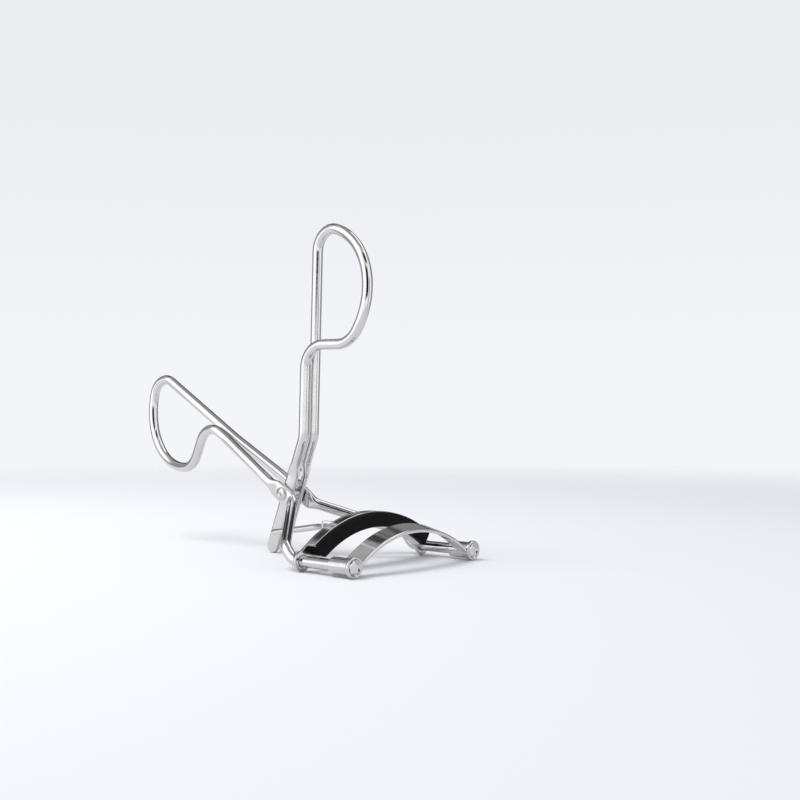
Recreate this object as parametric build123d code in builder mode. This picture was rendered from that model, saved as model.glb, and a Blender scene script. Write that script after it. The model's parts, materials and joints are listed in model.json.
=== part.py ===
"""Eyelash curler: two wire finger handles, a fixed front jaw and a sliding jaw with a rubber pad.

Millimetres, +Z up, +Y to the rear, X across. The curler stands on its front eyes and on the
foot of the lever. The origin is the middle of its footprint, on the surface that it stands on.
"""
import os
from math import cos, radians, sin

from build123d import *

# ---- driving dimensions -------------------------------------------------------------------
FRONT_Y = -48.543           # front face of the end collars
WIRE_R = 1.2                # round wire of both handles, the arms and the posts
POST_X = 19.0               # guide posts, each side of the middle
POST_Z = 2.2                # axis of the posts above the surface
FIT = 0.02                  # radial gap of parts that are fixed to each other
RUNNING = 0.05              # radial gap of parts that turn or slide on each other

# hinge: four flattened eyes on one rivet
PIVOT_Y = FRONT_Y + 39.0
PIVOT_Z = 14.2
EYE_THICK = 1.2             # wire pressed flat
EYE_WIDTH = 3.4             # of the lever's eyes
PLATE_WIDTH = 4.2           # of the frame's eyes
PLATE_FRONT = 2.9           # frame eye in front of the pivot
PLATE_REAR = 3.4            # frame eye behind the pivot
LEVER_X = 1.55              # middle of each lever eye
FRAME_X = 2.85              # middle of each frame eye, outside the lever
RIVET_R = 0.85
RIVET_HEAD_R = 1.55
RIVET_HEAD_H = 0.75
RIVET_CROWN = 0.6           # rounding of the rivet's heads
SPACER_R = 1.45

# handles
REAR_ANGLE = 29.0           # rear handle above the surface
FRONT_ANGLE = 91.8          # upright handle, open position
LOOP_X = 1.55               # half the distance between the two wires of a handle
LEAN = 22.0                 # lower part of the lever, from the vertical
KINK_REACH = 14.3           # pivot to the kink, up the lever
PIN_REACH = 9.9             # pivot to the link's pin, down the lever
FOOT_R = 1.6                # rounded foot of the lever, which stands on the surface
WAIST = 26.0                # along the rear handle, where its two wires come together
WAIST_RADIUS = 20.0
KINK_RADIUS = 6.0
FLAT_TOP = 5.2              # top of the lever's flats, above the pivot
FLAT_BLEND = 2.6            # length over which a flat turns into round wire
ARM_START = 4.3             # start of an arm, along the frame's eye in front of the pivot
ARM_DROP = 0.5              # and below the middle line of the eye
ARM_SPREAD = 0.45           # and outside the middle of the eye
HANDLE_START = 5.4          # start of the rear handle's wire, behind the pivot
KNEE_Y = FRONT_Y + 20.6     # where an arm meets the short rise of its guide post
KNEE_Z = 4.9
RISE_Y = FRONT_Y + 18.2     # where the guide post starts to rise
KNEE_RADIUS = 3.0
POST_START_Y = FRONT_Y + 0.25

# D-shaped finger loop, along the handle (s) and square to it (t), measured from the pivot
LOOP_CORNERS = [(63.1, 0.0), (55.1, 25.0), (34.6, 13.6), (34.6, 0.0)]
LOOP_RADII = [4.9, 15.7, 6.4, 5.4]
LOOP_SHIFT = [1.0, 0.35, -0.55, -1.0]   # part of LOOP_X that each corner stands across

# jaws
STRIP_WIDTH = 4.1           # front jaw along Y
STRIP_THICK = 0.8
STRIP_FRONT_Z = 8.0         # middle of the strip's thickness at the top of the arch, in front
STRIP_REAR_Z = 9.0          # and at its rear edge, nearer to the pad
STRIP_HALF_ANGLE = 40.0
STRIP_Y = FRONT_Y + 0.35
ARCH_R = 28.0
COLLAR_LENGTH = 0.9
COLLAR_R = POST_Z
COLLAR_MOUTH = 0.45         # chamfer round the peened end of the post
COLLAR_EDGE = 0.2
COLLAR_GAP = 0.1            # collar to the strip
SLEEVE_Y = FRONT_Y + COLLAR_LENGTH
SLEEVE_LENGTH = 5.3
SLEEVE_R = 1.8
PAD_APEX_Z = 9.7
WEB_Y = FRONT_Y + 15.1      # front face of the sliding jaw's back plate, jaw open
WEB_THICK = 0.7
CHANNEL_DEPTH = 2.1
CHANNEL_HEIGHT = 3.5
CHANNEL_WALL = 0.55
CHANNEL_HALF_ANGLE = 35.5
WEB_HALF_ANGLE = 41.0
EYE_R = POST_Z
PAD_HEAD_HEIGHT = 3.2
PAD_PROUD = 1.5             # pad in front of the channel's walls
PAD_ROUND = 0.5
PAD_HALF_ANGLE = 36.1

# link between the lever and the sliding jaw
LINK_R = 0.7
LINK_PIN_X = 3.2
LINK_SPLAY_Y = FRONT_Y + 27.0   # where the legs leave each other
LINK_SPLAY_Z = 7.4
LINK_SPLAY_RADIUS = 3.0
LINK_PIN_RADIUS = 1.0
HOOK_RADIUS = 0.9
LINK_EAR_X = 8.8            # middle of each leg at its ear
HOOK_Y = FRONT_Y + 17.3
HOOK_Z = 8.0
HOOK_REACH = 2.2
EAR_THICK = 0.7
EAR_HEIGHT = 3.6
EAR_SLOT_HEIGHT = 2.5
EAR_REACH = 1.4             # ear behind the hook's axis
EAR_ROUND = 0.65
EAR_GAP = 0.15              # leg to ear, along X
HOOK_GAP = 0.12             # hook to the sides of its slot

os.makedirs("parts", exist_ok=True)


def finish(name, label):
    """Label a finished piece and write its STEP file."""
    name.part.label = label
    export_step(name.part, f"parts/{label}.step")


def handle_point(angle, side, s, t, x):
    """A point s along a handle from the pivot, t towards its bulge, and x across."""
    a = radians(angle)
    y = PIVOT_Y + s * cos(a) - side * t * sin(a)
    z = PIVOT_Z + s * sin(a) + side * t * cos(a)
    return (x, y, z)


def lever_point(r, x):
    """A point r down the leaning part of the lever from the pivot."""
    return (x, PIVOT_Y + r * sin(radians(LEAN)), PIVOT_Z - r * cos(radians(LEAN)))


def side_plane(x, angle):
    """A plane square to X through the pivot, with its own x along the given angle."""
    a = radians(angle)
    return Plane(origin=(x, PIVOT_Y, PIVOT_Z), x_dir=(0, cos(a), sin(a)), z_dir=(1, 0, 0))


def cross_plane(point, direction):
    """A plane square to the given direction, with its own x along X."""
    return Plane(origin=point, x_dir=(1, 0, 0), z_dir=direction)


def arch_plane(y, apex_z):
    """A plane square to Y at the centre of an arch, with its own y pointing up."""
    return Plane(origin=(0, y, apex_z - ARCH_R), x_dir=(1, 0, 0), z_dir=(0, -1, 0))


def arch_sector(r_in, r_out, half_angle):
    """A flat sketch of a bent strip between two radii, the same each side of the top."""
    with BuildSketch(mode=Mode.PRIVATE) as sector:
        with BuildLine():
            a = radians(half_angle)
            inner = ThreePointArc(
                (-r_in * sin(a), r_in * cos(a)), (0, r_in), (r_in * sin(a), r_in * cos(a))
            )
            outer = ThreePointArc(
                (-r_out * sin(a), r_out * cos(a)), (0, r_out), (r_out * sin(a), r_out * cos(a))
            )
            Line(inner @ 0, outer @ 0)
            Line(inner @ 1, outer @ 1)
        make_face()
    return sector.sketch


# ---- frame: one wire makes the posts, the arms and the rear handle --------------------------
a_rear = radians(REAR_ANGLE)
rear_dir = (0, cos(a_rear), sin(a_rear))
rear_up = (0, -sin(a_rear), cos(a_rear))
lead = HANDLE_START + 3     # the wire runs straight for 3 mm before it turns in
with BuildPart() as frame_wire:
    with BuildLine() as loop_line:
        corners = [
            handle_point(REAR_ANGLE, -1, s, t, f * LOOP_X)
            for (s, t), f in zip(LOOP_CORNERS, LOOP_SHIFT)
        ]
        FilletPolyline(
            handle_point(REAR_ANGLE, -1, HANDLE_START, 0, FRAME_X),
            handle_point(REAR_ANGLE, -1, lead, 0, FRAME_X),
            handle_point(REAR_ANGLE, -1, WAIST, 0, LOOP_X),
            *corners,
            handle_point(REAR_ANGLE, -1, WAIST, 0, -LOOP_X),
            handle_point(REAR_ANGLE, -1, lead, 0, -FRAME_X),
            handle_point(REAR_ANGLE, -1, HANDLE_START, 0, -FRAME_X),
            radius=[WAIST_RADIUS, WAIST_RADIUS, *LOOP_RADII, WAIST_RADIUS, WAIST_RADIUS],
        )
    with BuildSketch(cross_plane(loop_line.line @ 0, loop_line.line % 0)):
        Circle(WIRE_R)
    sweep()
    for side in (1, -1):
        x = side * FRAME_X
        arm_start = handle_point(REAR_ANGLE, -1, -ARM_START, ARM_DROP, x + side * ARM_SPREAD)
        with BuildLine() as arm_line:
            FilletPolyline(
                arm_start,
                (side * POST_X, KNEE_Y, KNEE_Z),
                (side * POST_X, RISE_Y, POST_Z),
                (side * POST_X, POST_START_Y, POST_Z),
                radius=KNEE_RADIUS,
            )
        arm_dir = arm_line.line % 0
        with BuildSketch(Plane(origin=arm_start, z_dir=arm_dir)):
            Circle(WIRE_R)
        sweep()
        # flattened eye
        with BuildSketch(side_plane(x, REAR_ANGLE)):
            with Locations(((PLATE_REAR - PLATE_FRONT) / 2, 0)):
                Rectangle(PLATE_FRONT + PLATE_REAR, PLATE_WIDTH)
        extrude(amount=EYE_THICK / 2, both=True)
        # the round wire swells into the eye at both ends
        with BuildSketch(cross_plane(handle_point(REAR_ANGLE, -1, PLATE_REAR, 0, x), rear_dir)):
            Rectangle(EYE_THICK, PLATE_WIDTH)
        with BuildSketch(cross_plane(handle_point(REAR_ANGLE, -1, HANDLE_START, 0, x), rear_dir)):
            Circle(WIRE_R)
        loft()
        with BuildSketch(cross_plane(handle_point(REAR_ANGLE, -1, -PLATE_FRONT, 0, x), rear_dir)):
            Rectangle(EYE_THICK, PLATE_WIDTH)
        with BuildSketch(Plane(origin=arm_start, x_dir=rear_up, z_dir=arm_dir)):
            Circle(WIRE_R)
        loft()
    with BuildSketch(side_plane(0, REAR_ANGLE)):
        Circle(RIVET_R + FIT)
    extrude(amount=2 * FRAME_X, both=True, mode=Mode.SUBTRACT)
finish(frame_wire, "frame_wire")

# ---- front jaw: an arched strip whose ends are rolled round the posts ------------------------
with BuildPart() as front_jaw:
    for y, apex_z in ((STRIP_Y, STRIP_FRONT_Z), (STRIP_Y + STRIP_WIDTH, STRIP_REAR_Z)):
        with BuildSketch(arch_plane(y, apex_z)):
            add(arch_sector(ARCH_R - STRIP_THICK / 2, ARCH_R + STRIP_THICK / 2, STRIP_HALF_ANGLE))
    loft(ruled=True)
    for side in (1, -1):
        post_end = Plane(origin=(side * POST_X, SLEEVE_Y, POST_Z), z_dir=(0, 1, 0))
        with BuildSketch(post_end):
            Circle(SLEEVE_R)
        extrude(amount=SLEEVE_LENGTH)
        # the collar in front of the sleeve stays clear of the strip
        with BuildSketch(post_end):
            Circle(COLLAR_R + COLLAR_GAP)
        extrude(amount=-COLLAR_LENGTH, mode=Mode.SUBTRACT)
        with BuildSketch(post_end):
            Circle(WIRE_R + FIT)
        extrude(amount=SLEEVE_LENGTH, mode=Mode.SUBTRACT)
finish(front_jaw, "front_jaw")

# ---- end collars: each is pressed on a post and its mouth shows the peened end ---------------
for side, label in ((1, "end_collar_right"), (-1, "end_collar_left")):
    with BuildPart() as end_collar:
        with BuildSketch(Plane(origin=(side * POST_X, FRONT_Y, POST_Z), z_dir=(0, 1, 0))):
            Circle(COLLAR_R)
            Circle(WIRE_R + FIT, mode=Mode.SUBTRACT)
        extrude(amount=COLLAR_LENGTH - FIT)
        mouth = end_collar.edges().filter_by(GeomType.CIRCLE).group_by(Axis.Y)[0]
        chamfer(mouth.sort_by(SortBy.RADIUS)[0], COLLAR_MOUTH)
        rims = end_collar.edges().filter_by(GeomType.CIRCLE).sort_by(SortBy.RADIUS)[-2:]
        fillet(rims, COLLAR_EDGE)
    finish(end_collar, label)

# ---- sliding jaw: back plate with two guide eyes, channel walls and the link's ears ----------
CHANNEL_IN = ARCH_R - CHANNEL_HEIGHT / 2
CHANNEL_OUT = ARCH_R + CHANNEL_HEIGHT / 2
with BuildPart() as moving_jaw:
    with BuildSketch(arch_plane(WEB_Y + WEB_THICK, PAD_APEX_Z)):
        add(arch_sector(CHANNEL_IN, CHANNEL_OUT, WEB_HALF_ANGLE))
    extrude(amount=WEB_THICK)
    with BuildSketch(arch_plane(WEB_Y, PAD_APEX_Z)):
        add(arch_sector(CHANNEL_IN, CHANNEL_OUT, CHANNEL_HALF_ANGLE))
        add(
            arch_sector(CHANNEL_IN + CHANNEL_WALL, CHANNEL_OUT - CHANNEL_WALL, WEB_HALF_ANGLE),
            mode=Mode.SUBTRACT,
        )
    extrude(amount=CHANNEL_DEPTH)
    for side in (1, -1):
        eye_plane = Plane(origin=(side * POST_X, WEB_Y, POST_Z), z_dir=(0, 1, 0))
        with BuildSketch(eye_plane):
            Circle(EYE_R)
        extrude(amount=WEB_THICK)
        with BuildSketch(eye_plane):
            Circle(WIRE_R + RUNNING)
        extrude(amount=WEB_THICK, mode=Mode.SUBTRACT)
        ear_x = side * (LINK_EAR_X + LINK_R + EAR_GAP)
        ear_rear = HOOK_Y + EAR_REACH
        with BuildSketch(Plane(origin=(ear_x, 0, 0), x_dir=(0, 1, 0), z_dir=(1, 0, 0))):
            with Locations(((WEB_Y + ear_rear) / 2, HOOK_Z)):
                RectangleRounded(ear_rear - WEB_Y, EAR_HEIGHT, EAR_ROUND)
            with Locations((HOOK_Y, HOOK_Z)):
                slot_width = 2 * (LINK_R + HOOK_GAP)
                SlotOverall(EAR_SLOT_HEIGHT, slot_width, rotation=90, mode=Mode.SUBTRACT)
        extrude(amount=side * EAR_THICK)
finish(moving_jaw, "moving_jaw")

# ---- rubber pad: its foot fills the channel and its head stands in front of the walls --------
with BuildPart() as lash_pad:
    with BuildSketch(arch_plane(WEB_Y, PAD_APEX_Z)):
        foot_height = CHANNEL_HEIGHT - 2 * CHANNEL_WALL - 2 * FIT
        add(arch_sector(ARCH_R - foot_height / 2, ARCH_R + foot_height / 2, CHANNEL_HALF_ANGLE))
    extrude(amount=CHANNEL_DEPTH + FIT)
    with BuildSketch(arch_plane(WEB_Y - CHANNEL_DEPTH - FIT, PAD_APEX_Z)):
        half_head = PAD_HEAD_HEIGHT / 2
        add(arch_sector(ARCH_R - half_head, ARCH_R + half_head, PAD_HALF_ANGLE))
    extrude(amount=PAD_PROUD)
    fillet(lash_pad.faces().sort_by(Axis.Y)[0].edges(), PAD_ROUND)
finish(lash_pad, "lash_pad")

# ---- lever: the upright handle's wire, pressed flat from above the hinge down to the foot ----
FOOT_REACH = (PIVOT_Z - FOOT_R) / cos(radians(LEAN))
LEVER_ANGLE = 90 + LEAN
a_front = radians(FRONT_ANGLE)
lever_dir = (0, -sin(radians(LEAN)), cos(radians(LEAN)))
kink = lever_point(-KINK_REACH, 0)
with BuildPart() as handle_lever:
    with BuildLine() as loop_line:
        lower = [lever_point(-FLAT_TOP - FLAT_BLEND, f * LEVER_X) for f in (1, -1)]
        bend = [(f * LOOP_X, kink[1], kink[2]) for f in (1, -1)]
        corners = []
        for (s, t), f in zip(LOOP_CORNERS, LOOP_SHIFT):
            up = s - (kink[2] - PIVOT_Z)
            y = kink[1] + up * cos(a_front) - t * sin(a_front)
            z = kink[2] + up * sin(a_front) + t * cos(a_front)
            corners.append((f * LOOP_X, y, z))
        FilletPolyline(
            lower[0],
            bend[0],
            *corners,
            bend[1],
            lower[1],
            radius=[KINK_RADIUS, *LOOP_RADII, KINK_RADIUS],
        )
    with BuildSketch(cross_plane(loop_line.line @ 0, loop_line.line % 0)):
        Circle(WIRE_R)
    sweep()
    for side in (1, -1):
        x = side * LEVER_X
        with BuildSketch(side_plane(x, LEVER_ANGLE)):
            with Locations(((FLAT_TOP - FOOT_REACH) / 2, 0)):
                Rectangle(FLAT_TOP + FOOT_REACH, 2 * FOOT_R)
            with Locations((-FOOT_REACH, 0)):
                Circle(FOOT_R)
            Circle(EYE_WIDTH / 2)
        extrude(amount=EYE_THICK / 2, both=True)
        with BuildSketch(cross_plane(lever_point(-FLAT_TOP, x), lever_dir)):
            Rectangle(EYE_THICK, 2 * FOOT_R)
        with BuildSketch(cross_plane(lever_point(-FLAT_TOP - FLAT_BLEND, x), lever_dir)):
            Circle(WIRE_R)
        loft()
    with BuildSketch(side_plane(0, LEVER_ANGLE)):
        Circle(RIVET_R + RUNNING)
        with Locations((-PIN_REACH, 0)):
            Circle(LINK_R + RUNNING)
    extrude(amount=2 * LEVER_X, both=True, mode=Mode.SUBTRACT)
finish(handle_lever, "handle_lever")

# ---- hinge rivet and the spacer between the lever's two eyes --------------------------------
with BuildPart() as pivot_rivet:
    with BuildSketch(side_plane(0, 0)):
        Circle(RIVET_R)
    extrude(amount=FRAME_X + EYE_THICK / 2 + FIT, both=True)
    for side in (1, -1):
        with BuildSketch(side_plane(side * (FRAME_X + EYE_THICK / 2 + FIT), 0)):
            Circle(RIVET_HEAD_R)
        extrude(amount=side * RIVET_HEAD_H)
    rims = pivot_rivet.edges().filter_by(GeomType.CIRCLE).sort_by(Axis.X)
    fillet([rims[0], rims[-1]], RIVET_CROWN)
finish(pivot_rivet, "pivot_rivet")

with BuildPart() as pivot_spacer:
    with BuildSketch(side_plane(0, 0)):
        Circle(SPACER_R)
        Circle(RIVET_R + RUNNING, mode=Mode.SUBTRACT)
    extrude(amount=LEVER_X - EYE_THICK / 2 - FIT, both=True)
finish(pivot_spacer, "pivot_spacer")

# ---- link: one thin wire through the lever's pin holes, hooked into the jaw's two ears -------
pin_line = lever_point(PIN_REACH, 0)
with BuildPart() as link_bail:
    with BuildLine() as bail_line:
        right = [
            (LINK_EAR_X + HOOK_REACH, HOOK_Y, HOOK_Z),
            (LINK_EAR_X, HOOK_Y, HOOK_Z),
            (LINK_PIN_X, LINK_SPLAY_Y, LINK_SPLAY_Z),
            (LINK_PIN_X, pin_line[1], pin_line[2]),
        ]
        left = [(-x, y, z) for x, y, z in reversed(right)]
        radii = [HOOK_RADIUS, LINK_SPLAY_RADIUS, LINK_PIN_RADIUS]
        FilletPolyline(*right, *left, radius=[*radii, *reversed(radii)])
    with BuildSketch(Plane(origin=bail_line.line @ 0, z_dir=bail_line.line % 0)):
        Circle(LINK_R)
    sweep()
finish(link_bail, "link_bail")
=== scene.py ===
"""Visual model of an eyelash curler: chromed wire, formed sheet steel and a rubber pad.

Sizes are in millimetres in the classes below and turn into metres when a mesh is made. Places
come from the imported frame: the guide posts from the end collars, the hinge from its rivet and
the link's pin from its joint.
"""
import json
import logging
from dataclasses import dataclass, field
from enum import Enum
from math import acos, atan2, ceil, cos, hypot, pi, radians, sin, tan
from typing import Callable, Iterable, Sequence

import bmesh
import bpy
from mathutils import Matrix, Vector


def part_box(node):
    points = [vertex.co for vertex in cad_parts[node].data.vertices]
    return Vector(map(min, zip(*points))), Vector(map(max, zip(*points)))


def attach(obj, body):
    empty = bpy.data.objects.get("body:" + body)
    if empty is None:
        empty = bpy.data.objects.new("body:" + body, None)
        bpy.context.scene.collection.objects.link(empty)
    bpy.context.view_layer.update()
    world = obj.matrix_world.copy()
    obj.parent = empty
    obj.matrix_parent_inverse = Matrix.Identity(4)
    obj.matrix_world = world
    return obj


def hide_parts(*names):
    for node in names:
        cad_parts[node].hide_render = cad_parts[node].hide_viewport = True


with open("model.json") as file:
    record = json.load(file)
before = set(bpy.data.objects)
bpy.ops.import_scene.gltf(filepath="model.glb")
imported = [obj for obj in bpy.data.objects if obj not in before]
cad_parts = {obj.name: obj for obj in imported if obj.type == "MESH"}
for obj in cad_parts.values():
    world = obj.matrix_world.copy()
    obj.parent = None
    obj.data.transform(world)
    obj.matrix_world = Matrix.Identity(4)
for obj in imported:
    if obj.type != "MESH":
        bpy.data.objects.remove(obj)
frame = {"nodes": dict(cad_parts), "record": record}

MM = 0.001
CAP_ANGLES = (12, 28, 45, 62, 77, 86)  # degrees round the rounded end of a wire
TONGUE_EDGE = 0.55  # share of its thickness that a pressed end keeps at its rim
TONGUE_SQUARENESS = 12
WELD_GAP = 0.002  # points closer than this become one
LINE_WIDTH = 0.012  # width of a hairline, as a share of its noise
LINE_TURNS = ((0.3, 0.5, 0.2), (1.2, -0.4, 0.9))
HAZE_RANGE = (0.42, 0.74)  # noise where the film begins and where it is full
WORN_RANGE = (0.35, 0.6)
DUST_RANGE = (0.4, 0.62)
PIT_SPACING = 0.31  # scale of the pits, as a share of the grain's
PIT_REACH = 0.32
log = logging.getLogger("eyelash_curler")

Outline = list[tuple[float, float]]
MeshData = tuple[list[Vector], list[tuple[int, ...]]]


class Body(Enum):
    """Bodies of the mechanism that pieces ride on."""

    FRAME = "frame"
    LEVER = "lever"
    LINK = "link"
    SLIDING_JAW = "sliding_jaw"


class Slot(Enum):
    """Material slots of the record."""

    WIRE = "chrome_wire"
    SHEET = "chrome_sheet"
    RIVET = "rivet_steel"
    RUBBER = "pad_rubber"


class Side(Enum):
    """The two sides of the curler, with the sign of their X."""

    LEFT = -1
    RIGHT = 1


# ---- places read from the frame ----------------------------------------------------------------


def box_mm(node: str) -> tuple[Vector, Vector]:
    """Give the lowest and highest corner of a CAD node.

    Args:
        node: Name of the node.

    Returns:
        The two corners in millimetres.
    """
    low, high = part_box(node)
    return Vector(low) / MM, Vector(high) / MM


def joint_place(name: str) -> Vector:
    """Give the place of a joint of the record.

    Args:
        name: Name of the joint.

    Returns:
        A point on the joint's axis in millimetres.
    """
    for joint in frame["record"]["behaviour"]["joints"]:
        if joint["name"] == name:
            return Vector(joint["pos_m"]) / MM
    raise KeyError(name)


@dataclass(frozen=True)
class Datum:
    """Places that the pieces are built round, in millimetres."""

    front_y: float
    post_x: float
    post_z: float
    pivot: Vector
    pin: Vector
    hook_y: float
    jaw_front_y: float
    jaw_eye_r: float
    rivet_reach: float

    @classmethod
    def from_frame(cls) -> "Datum":
        """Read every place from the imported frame.

        Returns:
            The places, in millimetres.
        """
        low, high = box_mm("end_collar_right")
        jaw_low, jaw_high = box_mm("moving_jaw")
        link_low, _ = box_mm("link_bail")
        _, rivet_high = box_mm("pivot_rivet")
        post_x = (low.x + high.x) / 2
        return cls(
            front_y=low.y,
            post_x=post_x,
            post_z=(low.z + high.z) / 2,
            pivot=joint_place("handle_squeeze"),
            pin=joint_place("link_swing"),
            hook_y=link_low.y + LinkBail.wire_r,
            jaw_front_y=jaw_low.y,
            jaw_eye_r=jaw_high.x - post_x,
            rivet_reach=rivet_high.x,
        )


# ---- mesh tools --------------------------------------------------------------------------------


def ease(value: float) -> float:
    """Ease a value from 0 to 1 with no kink at either end."""
    value = min(max(value, 0.0), 1.0)
    return value * value * (3 - 2 * value)


def bent_line(
    points: Sequence[Vector], radii: Sequence[float], spacing: float = 0.5
) -> list[Vector]:
    """Follow straight runs with an arc at each inner corner, as wire is bent.

    Args:
        points: The two ends and the corners between them.
        radii: Bend radius of each corner.
        spacing: Distance between the samples, about.

    Returns:
        Samples along the bent line.
    """
    line = [points[0].copy()]

    def run_to(target: Vector) -> None:
        """Add samples along a straight run up to the target."""
        start = line[-1].copy()
        count = max(1, ceil((target - start).length / spacing))
        line.extend(start.lerp(target, (i + 1) / count) for i in range(count))

    for before, corner, after, radius in zip(points, points[1:], points[2:], radii):
        back = (before - corner).normalized()
        ahead = (after - corner).normalized()
        half = back.angle(ahead) / 2
        start = corner + back * (radius / tan(half))
        centre = corner + (back + ahead).normalized() * (radius / sin(half))
        turn = pi - 2 * half
        axis = (centre - start).cross(back).normalized()
        run_to(start)
        count = max(3, ceil(turn / radians(5)), ceil(turn * radius / spacing))
        for i in range(count):
            spin = Matrix.Rotation(turn * (i + 1) / count, 3, axis)
            line.append(centre + spin @ (start - centre))
    run_to(points[-1])
    return line


def loft(rings: Sequence[Sequence[Vector]], closed: bool = False) -> MeshData:
    """Skin a row of rings that have the same number of points.

    Args:
        rings: The rings in order.
        closed: Whether the last ring joins the first; otherwise both ends are capped.

    Returns:
        Points and faces of the skin.
    """
    size = len(rings[0])
    count = len(rings)
    faces = []
    for i in range(count if closed else count - 1):
        n = (i + 1) % count
        for j in range(size):
            k = (j + 1) % size
            faces.append((i * size + j, i * size + k, n * size + k, n * size + j))
    if not closed:
        faces += [tuple(range(size)), tuple(range((count - 1) * size, count * size))]
    return [point for ring in rings for point in ring], faces


@dataclass(frozen=True)
class Section:
    """Cross-section of a wire: half its thickness, half its width and how square it is."""

    thick: float
    width: float
    power: float = 2.0

    def toward(self, other: "Section", share: float) -> "Section":
        """Give the section part of the way to another.

        Args:
            other: The section at share 1.
            share: From 0, this section, to 1.

        Returns:
            The section between them.
        """
        pairs = zip((self.thick, self.width, self.power), (other.thick, other.width, other.power))
        return Section(*(a + (b - a) * share for a, b in pairs))

    def rim(self, sides: int) -> Outline:
        """Give the points round the section.

        Args:
            sides: Number of points.

        Returns:
            Offsets along the thickness and along the width.
        """
        rim = []
        for i in range(sides):
            c = cos(2 * pi * i / sides)
            s = sin(2 * pi * i / sides)
            x = self.thick * abs(c) ** (2 / self.power)
            y = self.width * abs(s) ** (2 / self.power)
            rim.append((x if c >= 0 else -x, y if s >= 0 else -y))
        return rim


class WireEnd(Enum):
    """How the cut end of a wire is finished."""

    DOME = "rounded off all round"
    TONGUE = "pressed flat, with a round outline"

    def thinning(self, angle: float) -> float:
        """Give the share of the thickness left at an angle round the end."""
        if self is WireEnd.DOME:
            return cos(angle)
        return TONGUE_EDGE + (1 - TONGUE_EDGE) * (1 - sin(angle) ** TONGUE_SQUARENESS)


def sweep_wire(
    line: Sequence[Vector], section: Callable[[Vector], Section], end: WireEnd, sides: int = 32
) -> MeshData:
    """Skin a wire along a line, with its thickness kept along X.

    Args:
        line: Samples along the middle of the wire.
        section: Gives the cross-section at a point of the line.
        end: Finish of both ends.
        sides: Points round the wire.

    Returns:
        Points and faces of the closed skin.
    """
    stations = []
    last = len(line) - 1
    for i, point in enumerate(line):
        ahead = (line[min(i + 1, last)] - line[max(i - 1, 0)]).normalized()
        stations.append((point, ahead, section(point)))
    ends = (stations[0], stations[-1])
    for (point, ahead, shape), outward in zip(ends, (-1, 1)):
        reach = shape.width if end is WireEnd.TONGUE else min(shape.thick, shape.width)
        for a in (radians(degree) for degree in CAP_ANGLES):
            cap = Section(shape.thick * end.thinning(a), shape.width * cos(a), shape.power)
            station = (point + ahead * (outward * reach * sin(a)), ahead, cap)
            stations.insert(0 if outward < 0 else len(stations), station)
    rings = []
    for point, ahead, shape in stations:
        across = (Vector((1, 0, 0)) - ahead * ahead.x).normalized()
        up = ahead.cross(across)
        rings.append([point + across * u + up * v for u, v in shape.rim(sides)])
    return loft(rings)


def round_outline(points: Outline, radii: Sequence[float]) -> Outline:
    """Round the corners of a closed outline.

    Args:
        points: Corners in order.
        radii: Radius of each corner, 0 for a sharp one.

    Returns:
        The outline with an arc in each rounded corner, anticlockwise.
    """
    turn = sum(a[0] * b[1] - a[1] * b[0] for a, b in zip(points, points[1:] + points[:1]))
    if turn < 0:
        points = points[::-1]
        radii = list(radii)[::-1]
    outline = []
    for i, corner in enumerate(points):
        here = Vector(corner)
        back = (Vector(points[i - 1]) - here).normalized()
        ahead = (Vector(points[(i + 1) % len(points)]) - here).normalized()
        if radii[i] <= 0:
            outline.append(corner)
            continue
        half = back.angle(ahead) / 2
        centre = here + (back + ahead).normalized() * (radii[i] / sin(half))
        start = here + back * (radii[i] / tan(half)) - centre
        sweep = start.angle_signed(here + ahead * (radii[i] / tan(half)) - centre)
        count = max(2, ceil(abs(sweep) / radians(18)))
        for step in range(count + 1):
            a = -sweep * step / count
            x = start.x * cos(a) - start.y * sin(a)
            y = start.x * sin(a) + start.y * cos(a)
            outline.append((centre.x + x, centre.y + y))
    return outline


def shrink(outline: Outline, amount: float) -> Outline:
    """Move an anticlockwise outline inwards by a small amount.

    Args:
        outline: The closed outline.
        amount: Distance inwards.

    Returns:
        The smaller outline, point for point.
    """
    moved = []
    for i, point in enumerate(outline):
        here = Vector(point)
        back = (here - Vector(outline[i - 1])).normalized()
        ahead = (Vector(outline[(i + 1) % len(outline)]) - here).normalized()
        inward = Vector((-back.y - ahead.y, back.x + ahead.x))
        inward = inward.normalized() if inward.length > 1e-6 else Vector((-back.y, back.x))
        moved.append(tuple(here + inward * amount))
    return moved


def box_outline(low: tuple[float, float], high: tuple[float, float], radius: float) -> Outline:
    """Give a rectangle with rounded corners between two opposite corners."""
    corners = [low, (high[0], low[1]), high, (low[0], high[1])]
    return round_outline(corners, [radius] * 4)


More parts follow.
